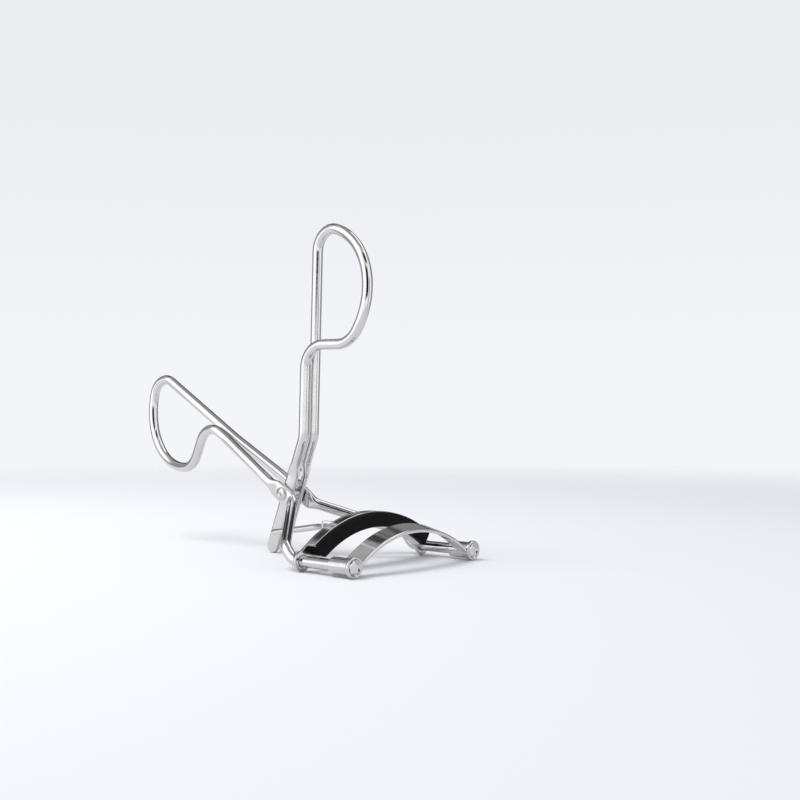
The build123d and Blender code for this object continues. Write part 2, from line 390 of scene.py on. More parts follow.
@dataclass(frozen=True)
class Turn:
    """A turn of a profile round an axis that lies along X or Y.

    Angles are from straight up, towards +X for an axis along Y and towards +Y along X.
    """

    centre: tuple[float, float]
    start: float = 0.0
    end: float = 2 * pi
    along_x: bool = False
    lean: float = 0.0
    steps: int = 48

    def place(self, axial: float, radial: float, angle: float) -> Vector:
        """Give the point of the profile at an angle of the turn."""
        out = self.centre[0] + radial * sin(angle)
        up = self.centre[1] + radial * cos(angle) + self.lean * axial
        return Vector((axial, out, up)) if self.along_x else Vector((out, axial, up))

    def skin(self, profile: Outline, edge: float = 0.0) -> MeshData:
        """Turn a closed profile into a skin.

        Args:
            profile: Points as (along the axis, out from it), anticlockwise.
            edge: Rounding of the edges of the two cut ends.

        Returns:
            Points and faces; a part turn is closed by its two cut ends.
        """
        whole = abs(self.end - self.start - 2 * pi) < 1e-6
        stops = [(self.start + (self.end - self.start) * i / self.steps, 0.0)
                 for i in range(self.steps if whole else self.steps + 1)]
        if not whole and edge > 0:
            mean = sum(r for _, r in profile) / len(profile)
            for a in (radians(v) for v in (30, 60, 90)):
                back = edge * (1 - sin(a)) / mean
                stops.insert(0, (self.start + back - edge / mean, edge * (1 - cos(a))))
                stops.append((self.end - back + edge / mean, edge * (1 - cos(a))))
        rings = []
        for angle, inset in stops:
            ring = shrink(profile, inset) if inset else profile
            rings.append([self.place(a, r, angle) for a, r in ring])
        return loft(rings, closed=whole)


def cut_plate(
    outline: Outline, holes: Iterable[Outline], thick: float, bevel: float,
    place: Callable[[float, float, float], Vector],
) -> MeshData:
    """Cut a flat plate with softened edges.

    Args:
        outline: Outer edge.
        holes: Edges of the openings.
        thick: Thickness of the plate.
        bevel: Rounding of its edges.
        place: Puts (x, y, height) of the plate where it belongs; height is from its middle.

    Returns:
        Points and faces of the plate.
    """
    curve = bpy.data.curves.new("plate_edge", "CURVE")
    curve.dimensions = "2D"
    curve.fill_mode = "BOTH"
    curve.extrude = thick / 2 - bevel
    curve.bevel_depth = bevel
    curve.bevel_resolution = 2
    curve.offset = -bevel
    for edge in (outline, *holes):
        spline = curve.splines.new("POLY")
        spline.points.add(len(edge) - 1)
        for knot, (x, y) in zip(spline.points, edge):
            knot.co = (x, y, 0, 1)
        spline.use_cyclic_u = True
    holder = bpy.data.objects.new("plate_edge", curve)
    mesh = bpy.data.meshes.new_from_object(holder)
    points = [place(*v.co) for v in mesh.vertices]
    faces = [tuple(p.vertices) for p in mesh.polygons]
    bpy.data.objects.remove(holder)
    bpy.data.curves.remove(curve)
    bpy.data.meshes.remove(mesh)
    return points, faces


def circle(x: float, y: float, radius: float, sides: int = 48) -> Outline:
    """Give a circle as a closed outline."""
    return [(x + radius * cos(2 * pi * i / sides), y + radius * sin(2 * pi * i / sides))
            for i in range(sides)]


def join(*parts: MeshData) -> MeshData:
    """Put several skins into one mesh.

    Args:
        *parts: Points and faces of each skin.

    Returns:
        Points and faces of all of them.
    """
    points: list[Vector] = []
    faces: list[tuple[int, ...]] = []
    for more_points, more_faces in parts:
        shift = len(points)
        points += more_points
        faces += [tuple(i + shift for i in face) for face in more_faces]
    return points, faces


def add_piece(
    name: str, data: MeshData, body: Body, slot: Slot, material: bpy.types.Material,
    replaces: Sequence[str] = (), flats: bool = False,
) -> bpy.types.Object:
    """Make an object of a skin, dress it and fix it to its body.

    Args:
        name: Name of the piece.
        data: Its points, in millimetres, and faces.
        body: Body that it moves with.
        slot: Material slot of the record; not used.
        material: Its finish.
        replaces: CAD nodes that it stands for.
        flats: Whether it has flat faces that should stay flat under smooth shading.

    Returns:
        The new object.
    """
    points, faces = data
    mesh = bpy.data.meshes.new(name)
    mesh.from_pydata([p * MM for p in points], [], faces)
    work = bmesh.new()
    work.from_mesh(mesh)
    bmesh.ops.remove_doubles(work, verts=work.verts, dist=WELD_GAP * MM)
    bmesh.ops.recalc_face_normals(work, faces=work.faces)
    work.to_mesh(mesh)
    work.free()
    mesh.shade_smooth()
    mesh.materials.append(material)
    piece = bpy.data.objects.new(name, mesh)
    bpy.context.scene.collection.objects.link(piece)
    if flats:
        even = piece.modifiers.new("even_flats", "WEIGHTED_NORMAL")
        even.weight = 100
    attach(piece, body.value)
    if replaces:
        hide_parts(*replaces)
    log.info("%s: %d points, rides on %s", name, len(mesh.vertices), body.value)
    return piece


# ---- shader node groups ------------------------------------------------------------------------


@dataclass
class NodePlan:
    """A node tree that is being filled."""

    tree: bpy.types.NodeTree

    def add(self, kind: str, values: dict | None = None, **settings: object) -> bpy.types.Node:
        """Add a node.

        Args:
            kind: Type of the node, without the ShaderNode in front.
            values: Input sockets, by name or number, with a value or an output socket to link.
            **settings: Attributes of the node.

        Returns:
            The new node.
        """
        node = self.tree.nodes.new(kind if kind.startswith("NodeGroup") else f"ShaderNode{kind}")
        for key, value in settings.items():
            setattr(node, key, value)
        for key, value in (values or {}).items():
            self.feed(node.inputs[key], value)
        return node

    def feed(self, socket: bpy.types.NodeSocket, value: object) -> None:
        """Set an input socket to a value, or link an output socket to it.

        Args:
            socket: The input socket.
            value: A plain value, or an output socket.
        """
        if isinstance(value, bpy.types.NodeSocket):
            self.tree.links.new(value, socket)
        else:
            socket.default_value = value

    def math(self, operation: str, *values: object) -> bpy.types.NodeSocket:
        """Add a Math node and give its output."""
        return self.add("Math", dict(enumerate(values)), operation=operation).outputs[0]

    def remap(self, value: object, low: object, high: object, out_low: object = 0.0,
              out_high: object = 1.0, kind: str = "SMOOTHSTEP") -> bpy.types.NodeSocket:
        """Map a value from one range to another and give the output."""
        values = {"Value": value, "From Min": low, "From Max": high, "To Min": out_low,
                  "To Max": out_high}
        return self.add("MapRange", values, interpolation_type=kind).outputs["Result"]

    def group(self, name: str, **values: object) -> bpy.types.Node:
        """Place a node group, with its inputs by name.

        Args:
            name: Name of the node group.
            **values: Input sockets by name.

        Returns:
            The new node.
        """
        node = self.tree.nodes.new("ShaderNodeGroup")
        node.node_tree = bpy.data.node_groups[name]
        for key, value in values.items():
            self.feed(node.inputs[key], value)
        return node


def open_group(name: str, inputs: dict[str, float], outputs: Sequence[str]) -> tuple:
    """Start a shader node group with number sockets.

    Args:
        name: Name of the group.
        inputs: Input names with their defaults; a tuple default makes a vector.
        outputs: Output names.

    Returns:
        The plan of its tree, its input node and its output node.
    """
    tree = bpy.data.node_groups.new(name, "ShaderNodeTree")
    for key, value in inputs.items():
        kind = "NodeSocketVector" if isinstance(value, tuple) else "NodeSocketFloat"
        tree.interface.new_socket(name=key, in_out="INPUT", socket_type=kind).default_value = value
    for key in outputs:
        tree.interface.new_socket(name=key, in_out="OUTPUT", socket_type="NodeSocketFloat")
    plan = NodePlan(tree)
    return plan, plan.add("NodeGroupInput"), plan.add("NodeGroupOutput")


def make_hairline_group() -> None:
    """Build fine straight scratches in two directions, as polishing leaves them."""
    plan, take, give = open_group("hairlines", {"Scale": 900.0, "Length": 14.0}, ["Mask"])
    place = plan.add("TexCoord").outputs["Object"]
    lines = []
    across = take.outputs["Scale"]
    along = plan.math("DIVIDE", across, take.outputs["Length"])
    size = plan.add("CombineXYZ", {"X": across, "Y": along, "Z": across}).outputs[0]
    for turn in LINE_TURNS:
        turned = plan.add("VectorRotate", {"Vector": place, "Rotation": turn},
                          rotation_type="EULER_XYZ").outputs[0]
        spot = plan.add("VectorMath", {0: turned, 1: size}, operation="MULTIPLY").outputs[0]
        noise = plan.add("TexNoise", {"Vector": spot, "Scale": 1.0, "Detail": 2.0}).outputs["Fac"]
        near = plan.math("ABSOLUTE", plan.math("SUBTRACT", noise, 0.5))
        lines.append(plan.remap(near, 0.0, LINE_WIDTH, 1.0, 0.0))
    plan.feed(give.inputs["Mask"], plan.math("MAXIMUM", *lines))


def make_haze_group() -> None:
    """Build the uneven film that fingers leave on polished metal."""
    inputs = {"Scale": 90.0, "Clean": 0.03, "Hazy": 0.12}
    plan, take, give = open_group("handling_haze", inputs, ["Roughness", "Mask"])
    place = plan.add("TexCoord").outputs["Object"]
    values = {"Vector": place, "Scale": take.outputs["Scale"], "Detail": 5.0, "Roughness": 0.62}
    cloud = plan.add("TexNoise", values).outputs["Fac"]
    mask = plan.remap(cloud, *HAZE_RANGE)
    plan.feed(give.inputs["Mask"], mask)
    rough = plan.remap(mask, 0.0, 1.0, take.outputs["Clean"], take.outputs["Hazy"], "LINEAR")
    plan.feed(give.inputs["Roughness"], rough)


def make_edge_group() -> None:
    """Build the mask of convex edges, where plating rubs and catches light."""
    inputs = {"Start": 0.53, "Full": 0.62, "Scale": 700.0}
    plan, take, give = open_group("edge_rub", inputs, ["Mask"])
    crest = plan.add("NewGeometry").outputs["Pointiness"]
    edge = plan.remap(crest, take.outputs["Start"], take.outputs["Full"])
    place = plan.add("TexCoord").outputs["Object"]
    values = {"Vector": place, "Scale": take.outputs["Scale"], "Detail": 3.0}
    broken = plan.remap(plan.add("TexNoise", values).outputs["Fac"], *WORN_RANGE)
    plan.feed(give.inputs["Mask"], plan.math("MULTIPLY", edge, broken))


def make_grain_group() -> None:
    """Build a fine pebbled grain with a few larger pits."""
    plan, take, give = open_group("fine_grain", {"Scale": 2600.0, "Pits": 0.35}, ["Height", "Mask"])
    place = plan.add("TexCoord").outputs["Object"]
    values = {"Vector": place, "Scale": take.outputs["Scale"], "Detail": 3.0, "Roughness": 0.6}
    grain = plan.add("TexNoise", values).outputs["Fac"]
    cell = plan.math("MULTIPLY", take.outputs["Scale"], PIT_SPACING)
    pits = plan.add("TexVoronoi", {"Vector": place, "Scale": cell}).outputs["Distance"]
    pit = plan.math("MULTIPLY", plan.remap(pits, 0.0, PIT_REACH, 1.0, 0.0), take.outputs["Pits"])
    plan.feed(give.inputs["Height"], plan.math("SUBTRACT", grain, pit))
    plan.feed(give.inputs["Mask"], plan.remap(grain, *DUST_RANGE))


def make_card_group() -> None:
    """Build the mask of one light or dark card of the studio, seen in a direction."""
    inputs = {"Direction": (0.0, 0.0, 1.0), "Azimuth": 0.0, "Elevation": 0.0, "Half Width": 0.5,
              "Half Height": 0.5, "Soft": 0.05}
    plan, take, give = open_group("studio_card", inputs, ["Mask"])
    way = plan.add("SeparateXYZ", {"Vector": take.outputs["Direction"]}).outputs
    azimuth = plan.math("ARCTAN2", way["X"], way["Y"])
    off = plan.math("WRAP", plan.math("SUBTRACT", azimuth, take.outputs["Azimuth"]), pi, -pi)
    rise = plan.math("SUBTRACT", plan.math("ARCSINE", way["Z"]), take.outputs["Elevation"])
    masks = []
    for offset, half in ((off, "Half Width"), (rise, "Half Height")):
        inner = plan.math("SUBTRACT", take.outputs[half], take.outputs["Soft"])
        outer = plan.math("ADD", take.outputs[half], take.outputs["Soft"])
        masks.append(plan.remap(plan.math("ABSOLUTE", offset), inner, outer, 1.0, 0.0))
    plan.feed(give.inputs["Mask"], plan.math("MULTIPLY", *masks))


# ---- finishes ----------------------------------------------------------------------------------

Colour = tuple[float, float, float]


def new_material(name: str) -> tuple[bpy.types.Material, NodePlan, bpy.types.Node]:
    """Start a material.

    Args:
        name: Name of the material.

    Returns:
        The material, the plan of its tree and its Principled BSDF.
    """
    material = bpy.data.materials.new(name)
    material.use_nodes = True
    return material, NodePlan(material.node_tree), material.node_tree.nodes["Principled BSDF"]


def mix_colour(
    plan: NodePlan, share: bpy.types.NodeSocket, low: Colour, high: Colour
) -> bpy.types.NodeSocket:
    """Mix two colours by a mask and give the output socket.

    Args:
        plan: The tree to add to.
        share: Mask, 0 for the low colour.
        low: Colour where the mask is 0.
        high: Colour where the mask is 1.

    Returns:
        The mixed colour's socket.
    """
    node = plan.add("Mix", data_type="RGBA")
    plan.feed(node.inputs["Factor"], share)
    plan.feed(node.inputs[6], (*low, 1.0))
    plan.feed(node.inputs[7], (*high, 1.0))
    return node.outputs[2]


@dataclass(frozen=True)
class MetalFinish:
    """Polished or satin metal with hairlines, handling haze and rubbed edges."""

    name: str
    clean: Colour
    dull: Colour
    smooth: float
    hazy: float
    haze_scale: float
    line_scale: float
    line_length: float
    line_depth: float
    film_share: float = 0.7
    line_roughness: float = 0.05
    line_strength: float = 0.35

    def build(self) -> bpy.types.Material:
        """Make the material of this finish.

        Returns:
            The new material.
        """
        material, plan, shader = new_material(self.name)
        haze = plan.group("handling_haze", Scale=self.haze_scale, Clean=self.smooth, Hazy=self.hazy)
        lines = plan.group("hairlines", Scale=self.line_scale, Length=self.line_length)
        edge = plan.group("edge_rub")
        film = plan.math("MULTIPLY", haze.outputs["Mask"], self.film_share)
        worn = plan.math("MAXIMUM", film, edge.outputs["Mask"])
        plan.feed(shader.inputs["Base Color"], mix_colour(plan, worn, self.clean, self.dull))
        scored = plan.math("MULTIPLY", lines.outputs["Mask"], self.line_roughness)
        rough = plan.math("ADD", haze.outputs["Roughness"], scored)
        plan.feed(shader.inputs["Roughness"], rough)
        values = {"Strength": self.line_strength, "Distance": self.line_depth * MM,
                  "Height": lines.outputs["Mask"]}
        plan.feed(shader.inputs["Normal"], plan.add("Bump", values, invert=True).outputs["Normal"])
        shader.inputs["Metallic"].default_value = 1.0
        return material


@dataclass(frozen=True)
class RubberFinish:
    """Matt black rubber with a moulded grain and a little dust."""

    name: str
    deep: Colour = (0.0035, 0.0035, 0.004)
    dusty: Colour = (0.011, 0.011, 0.012)
    grain_scale: float = 2200.0
    grain_depth: float = 0.03
    grain_strength: float = 0.5
    film_scale: float = 420.0
    smooth: float = 0.5
    rough: float = 0.72
    specular: float = 0.12

    def build(self) -> bpy.types.Material:
        """Make the material of this finish.

        Returns:
            The new material.
        """
        material, plan, shader = new_material(self.name)
        grain = plan.group("fine_grain", Scale=self.grain_scale)
        haze = plan.group("handling_haze", Scale=self.film_scale, Clean=self.smooth,
                          Hazy=self.rough)
        dust = plan.math("MULTIPLY", grain.outputs["Mask"], haze.outputs["Mask"])
        plan.feed(shader.inputs["Base Color"], mix_colour(plan, dust, self.deep, self.dusty))
        plan.feed(shader.inputs["Roughness"], haze.outputs["Roughness"])
        values = {"Strength": self.grain_strength, "Distance": self.grain_depth * MM,
                  "Height": grain.outputs["Height"]}
        plan.feed(shader.inputs["Normal"], plan.add("Bump", values).outputs["Normal"])
        shader.inputs["Specular IOR Level"].default_value = self.specular
        return material


@dataclass
class Finishes:
    """Every finish of the curler, built once."""

    made: dict[str, bpy.types.Material] = field(default_factory=dict)

    def build(self) -> None:
        """Make the shared node groups and the materials."""
        for make in (make_hairline_group, make_haze_group, make_edge_group, make_grain_group,
                     make_card_group):
            make()
        for finish in (
            MetalFinish(
                "chrome_wire", clean=(0.80, 0.80, 0.805), dull=(0.71, 0.71, 0.72), smooth=0.025,
                hazy=0.09, haze_scale=130, line_scale=2400, line_length=18, line_depth=0.004,
            ),
            MetalFinish(
                "chrome_sheet", clean=(0.77, 0.77, 0.775), dull=(0.68, 0.68, 0.69), smooth=0.035,
                hazy=0.13, haze_scale=170, line_scale=3000, line_length=26, line_depth=0.005,
            ),
            MetalFinish(
                "rivet_steel", clean=(0.72, 0.715, 0.71), dull=(0.60, 0.595, 0.59), smooth=0.10,
                hazy=0.22, haze_scale=300, line_scale=3600, line_length=8, line_depth=0.006,
            ),
            RubberFinish("pad_rubber"),
        ):
            self.made[finish.name] = finish.build()
            log.info("finish %s", finish.name)

    def of(self, slot: Slot) -> bpy.types.Material:
        """Give the material of a slot."""
        return self.made[slot.value]


# ---- the curler's sub-assemblies ---------------------------------------------------------------


@dataclass
class FingerLoop:
    """D-shaped finger loop at the end of a two-wire handle.

    Corners are along the handle from the hinge and square to it, towards the loop's bulge, and
    each stands a part of half_gap across, so that the two wires cross from side to side.
    """

    corners: tuple = ((63.1, 0.0), (55.1, 25.0), (34.6, 13.6), (34.6, 0.0))
    radii: tuple = (4.9, 15.7, 6.4, 5.4)
    shift: tuple = (1.0, 0.35, -0.55, -1.0)
    half_gap: float = 1.55

    def points(self, origin: Vector, angle: float, bulge: float, start: float) -> list[Vector]:
        """Give the loop's corners.

        Args:
            origin: Point on the handle's line.
            angle: Handle above the surface, in degrees, from the rear.
            bulge: 1 where the loop bulges to the front or up, -1 to the rear or down.
            start: Distance of the origin from the hinge along the handle.

        Returns:
            The corner points.
        """
        along = Vector((0, cos(radians(angle)), sin(radians(angle))))
        out = Vector((0, -along.z, along.y)) * bulge
        side = Vector((self.half_gap, 0, 0))
        return [origin + along * (s - start) + out * t + side * f
                for (s, t), f in zip(self.corners, self.shift)]


@dataclass
class FrameWire:
    """One wire that makes the posts, the arms, the frame's eyes and the rear handle."""

    datum: Datum
    loop: FingerLoop
    wire_r: float = 1.2
    angle: float = 29.0
    eye_x: float = 2.85
    eye_thick: float = 1.2
    eye_power: float = 4.2
    eye_splay: float = 0.12
    eye_width: float = 3.9
    eye_flat: float = 2.4
    eye_blend: float = 2.9
    arm_corner: float = 3.7
    arm_drop: float = 0.3
    arm_radius: float = 2.4
    knee: tuple = (20.6, 4.9)
    rise: float = 18.2
    knee_radius: float = 3.0
    post_start: float = 1.78
    lead: float = 8.4
    waist: float = 26.0
    waist_radius: float = 20.0

    def handle_point(self, s: float, x: float, drop: float = 0.0) -> Vector:
        """Give a point s along the rear handle from the hinge.

        Args:
            s: Distance from the hinge along the handle.
            x: Distance from the middle plane.
            drop: Distance below the handle's line.

        Returns:
            The point.
        """
        a = radians(self.angle)
        return Vector((
            x,
            self.datum.pivot.y + s * cos(a) + drop * sin(a),
            self.datum.pivot.z + s * sin(a) - drop * cos(a),
        ))

    def half(self, side: Side) -> list[Vector]:
        """Give the corners from a post's front end to the waist of the handle.

        Args:
            side: The side that this half is on.

        Returns:
            The corners.
        """
        d = self.datum
        sign = side.value
        arm_x = sign * (self.eye_x + self.eye_splay)
        return [
            Vector((sign * d.post_x, d.front_y + self.post_start, d.post_z)),
            Vector((sign * d.post_x, d.front_y + self.rise, d.post_z)),
            Vector((sign * d.post_x, d.front_y + self.knee[0], self.knee[1])),
            self.handle_point(-self.arm_corner, arm_x, self.arm_drop),
            self.handle_point(self.lead, sign * self.eye_x),
            self.handle_point(self.waist, sign * self.loop.half_gap),
        ]

    def section(self, point: Vector) -> Section:
        """Give the section at a point: round wire, pressed flat at the two eyes.

        Args:
            point: A point of the wire's line.

        Returns:
            The section there.
        """
        centre = self.handle_point(0, self.eye_x if point.x > 0 else -self.eye_x)
        away = (point - centre).length
        flat = 1 - ease((away - self.eye_flat) / self.eye_blend)
        eye = Section(self.eye_thick / 2, self.eye_width / 2, self.eye_power)
        return Section(self.wire_r, self.wire_r).toward(eye, flat)

    def build(self, finishes: Finishes) -> None:
        """Build the whole wire.

        Args:
            finishes: The finishes by slot.
        """
        bends = [self.knee_radius, self.knee_radius, self.arm_radius,
                 self.waist_radius, self.waist_radius]
        loop = self.loop.points(self.datum.pivot, self.angle, -1, 0.0)
        points = [*self.half(Side.RIGHT), *loop, *reversed(self.half(Side.LEFT))]
        line = bent_line(points, [*bends, *self.loop.radii, *reversed(bends)])
        data = sweep_wire(line, self.section, WireEnd.DOME)
        add_piece("frame_and_rear_handle", data, Body.FRAME, Slot.WIRE, finishes.of(Slot.WIRE),
                  ["frame_wire"])


@dataclass
class LeverWire:
    """The upright handle: one wire, pressed flat from above the hinge down to its two feet."""

    datum: Datum
    loop: FingerLoop
    wire_r: float = 1.2
    angle: float = 91.8
    lean: float = 22.0
    kink: float = 14.3
    kink_radius: float = 6.0
    flat_thick: float = 1.2
    flat_width: float = 3.3
    flat_power: float = 4.6
    flat_top: float = 4.6
    flat_blend: float = 3.4
    foot_r: float = 1.66

    def along(self) -> Vector:
        """Give the direction up the leaning part."""
        return Vector((0, -sin(radians(self.lean)), cos(radians(self.lean))))

    def section(self, point: Vector) -> Section:
        """Give the section at a point: flat low down, round above.

        Args:
            point: A point of the wire's line.

        Returns:
            The section there.
        """
        height = (point - self.datum.pivot).dot(self.along())
        flat = 1 - ease((height - self.flat_top) / self.flat_blend)
        plate = Section(self.flat_thick / 2, self.flat_width / 2, self.flat_power)
        return Section(self.wire_r, self.wire_r).toward(plate, flat)

    def build(self, finishes: Finishes) -> None:
        """Build the whole wire.

        Args:
            finishes: The finishes by slot.
        """
        pivot = self.datum.pivot
        gap = Vector((self.loop.half_gap, 0, 0))
        foot = pivot - self.along() * ((pivot.z - self.foot_r) / cos(radians(self.lean)))
        kink = pivot + self.along() * self.kink
        corners = self.loop.points(kink, self.angle, 1, kink.z - pivot.z)
        points = [foot + gap, kink + gap, *corners, kink - gap, foot - gap]
        line = bent_line(points, [self.kink_radius, *self.loop.radii, self.kink_radius])
        data = sweep_wire(line, self.section, WireEnd.TONGUE)
        add_piece("lever_and_upright_handle", data, Body.LEVER, Slot.WIRE, finishes.of(Slot.WIRE),
                  ["handle_lever"])


@dataclass
class LinkBail:
    """The thin wire that pushes the sliding jaw: a pin, two legs and two hooks."""

    datum: Datum
    wire_r: float = 0.7
    pin_x: float = 3.2
    splay: tuple = (27.0, 7.4)
    ear_x: float = 8.8
    hook_z: float = 8.0
    hook_reach: float = 2.1
    hook_trim: float = 0.6
    spacing: float = 0.35
    radii: tuple = (0.9, 3.0, 1.0)

    def build(self, finishes: Finishes) -> None:
        """Build the bail from hook to hook.

        Args:
            finishes: The finishes by slot.
        """
        d = self.datum
        tip = self.ear_x + self.hook_reach - self.wire_r * self.hook_trim
        half = [
            Vector((tip, d.hook_y, self.hook_z)),
            Vector((self.ear_x, d.hook_y, self.hook_z)),
            Vector((self.pin_x, d.front_y + self.splay[0], self.splay[1])),
            Vector((self.pin_x, d.pin.y, d.pin.z)),
        ]
        other = [Vector((-p.x, p.y, p.z)) for p in reversed(half)]
        line = bent_line([*half, *other], [*self.radii, *reversed(self.radii)], self.spacing)
        data = sweep_wire(line, lambda _: Section(self.wire_r, self.wire_r), WireEnd.DOME, 24)
        add_piece("link_bail_wire", data, Body.LINK, Slot.WIRE, finishes.of(Slot.WIRE),
                  ["link_bail"])


@dataclass
class FixedJaw:
    """The arched front strip with its ends rolled round the guide posts."""

    datum: Datum
    arch_r: float = 28.0
    front_apex: float = 8.0
    rear_apex: float = 9.0
    width: float = 4.1
    thick: float = 0.8
    inset: float = 0.35
    edge: float = 0.22
    half_angle: float = 38.6
    sleeve_r: float = 1.8
    sleeve_wall: float = 0.57
    sleeve_start: float = 0.9
    sleeve_length: float = 5.3
    seam: float = 0.10
    seam_angle: float = 118.0
    seam_edge: float = 0.06
    rim_edge: float = 0.16
    end_edge: float = 0.15

    def build(self, finishes: Finishes) -> None:
        """Build the strip and its two rolled sleeves as one piece.

        Args:
            finishes: The finishes by slot.
        """
        d = self.datum
        start = d.front_y + self.inset
        slope = (self.rear_apex - self.front_apex) / self.width
        drop = self.front_apex - slope * start - self.arch_r
        bend = Turn((0.0, drop), -radians(self.half_angle), radians(self.half_angle), lean=slope,
                    steps=72)
        strip = box_outline(
            (start, self.arch_r - self.thick / 2),
            (start + self.width, self.arch_r + self.thick / 2),
            self.edge,
        )
        parts = [bend.skin(strip, self.end_edge)]
        first = d.front_y + self.sleeve_start
        wall = box_outline(
            (first, self.sleeve_r - self.sleeve_wall), (first + self.sleeve_length, self.sleeve_r),
            self.rim_edge,
        )
        for side in Side:
            # the roll starts at the strip and comes back to a fine seam under it
            gap = radians(self.seam_angle)
            turn = Turn((side.value * d.post_x, d.post_z), -side.value * gap + self.seam / 2,
                        -side.value * gap - self.seam / 2 + 2 * pi, steps=64)
            parts.append(turn.skin(wall, self.seam_edge))
        add_piece("front_jaw_strip", join(*parts), Body.FRAME, Slot.SHEET, finishes.of(Slot.SHEET),
                  ["front_jaw"], flats=True)


@dataclass
class GuideCollar:
    """A collar pressed on a post's front end, with the post peened over in its mouth."""

    datum: Datum
    side: Side
    radius: float = 2.2
    length: float = 0.88
    bore: float = 1.22
    mouth: float = 1.78
    depth: float = 0.5
    lobes: int = 5
    peen_r: float = 1.36
    lobe_depth: float = 0.17
    peen_rise: float = 0.38
    peen_seat: float = 0.05
    peen_sides: int = 60
    peen_levels: tuple = (
        (0.0, 1.0), (0.4, 1.0), (0.7, 0.96), (0.88, 0.88), (0.97, 0.74), (1.0, 0.5), (1.0, 0.2),
    )
    face_inset: float = 0.02
    mouth_taper: float = 0.12
    edges: tuple = (0.12, 0.0, 0.0, 0.08, 0.22, 0.16)

    def ring(self) -> MeshData:
        """Build the collar itself.

        Returns:
            Points and faces of the ring.
        """
        y = self.datum.front_y
        face = y + self.face_inset
        floor = y + self.depth
        corners = [
            (face, self.mouth), (floor, self.mouth - self.mouth_taper), (floor, self.bore),
            (y + self.length, self.bore), (y + self.length, self.radius), (face, self.radius),
        ]
        profile = round_outline(corners, self.edges)
        centre = (self.side.value * self.datum.post_x, self.datum.post_z)
        return Turn(centre, steps=72).skin(profile)

    def peen(self) -> MeshData:
        """Build the post's lobed, domed end.

        Returns:
            Points and faces of the end.
        """
        base = self.datum.front_y + self.depth + self.peen_seat
        cx = self.side.value * self.datum.post_x
        rings = []
        for rise, share in self.peen_levels:
            ring = []
            for i in range(self.peen_sides):
                a = 2 * pi * i / self.peen_sides
                r = (self.peen_r + self.lobe_depth * cos(self.lobes * a) * share) * share
                y = base - self.peen_rise * rise
                ring.append(Vector((cx + r * sin(a), y, self.datum.post_z + r * cos(a))))
            rings.append(ring)
        return loft(rings)

    def build(self, finishes: Finishes) -> None:
        """Build the collar and the peened end.

        Args:
            finishes: The finishes by slot.
        """
        name = self.side.name.lower()
        add_piece(f"guide_collar_{name}", self.ring(), Body.FRAME, Slot.SHEET,
                  finishes.of(Slot.SHEET), [f"end_collar_{name}"], flats=True)
        add_piece(f"peened_post_end_{name}", self.peen(), Body.FRAME, Slot.WIRE,
                  finishes.of(Slot.WIRE))


